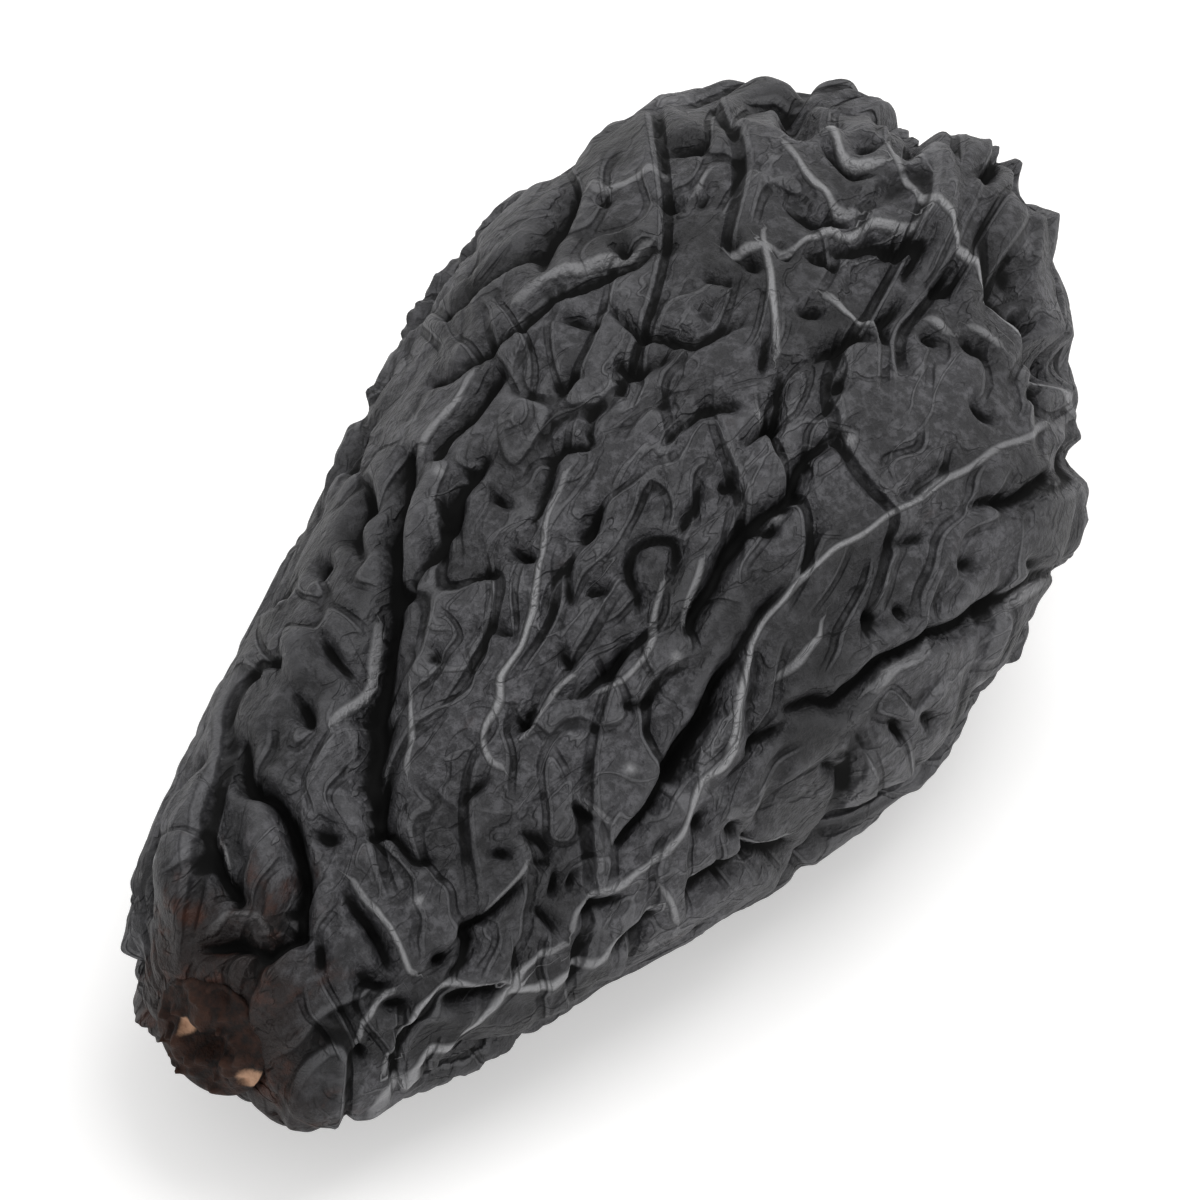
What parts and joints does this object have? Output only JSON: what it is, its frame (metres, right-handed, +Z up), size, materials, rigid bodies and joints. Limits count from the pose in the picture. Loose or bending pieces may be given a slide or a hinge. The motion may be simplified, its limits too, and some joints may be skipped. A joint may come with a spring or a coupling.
{
  "type": "black raisin",
  "caption": "Long dried black grape with a deeply creased skin, a blunt blossom end and the torn stub of its stalk in a puckered hollow; lies on a small flat spot.",
  "frame": {"origin": "on the resting surface, under the middle of the part's box", "axes": "+X along the fruit from the stem end to the blossom end, +Z up from the surface that it lies on"},
  "size_m": [0.024, 0.0128, 0.009],
  "materials": {
    "dried_skin": "charcoal black, satin, with a dusty bloom and pale pinched ridges",
    "torn_stalk": "dry, torn, red-brown with tan fibres"
  },
  "bodies": {
    "root": {"raisin": "dried_skin", "stem_stub": "torn_stalk"}
  },
  "joints": []
}
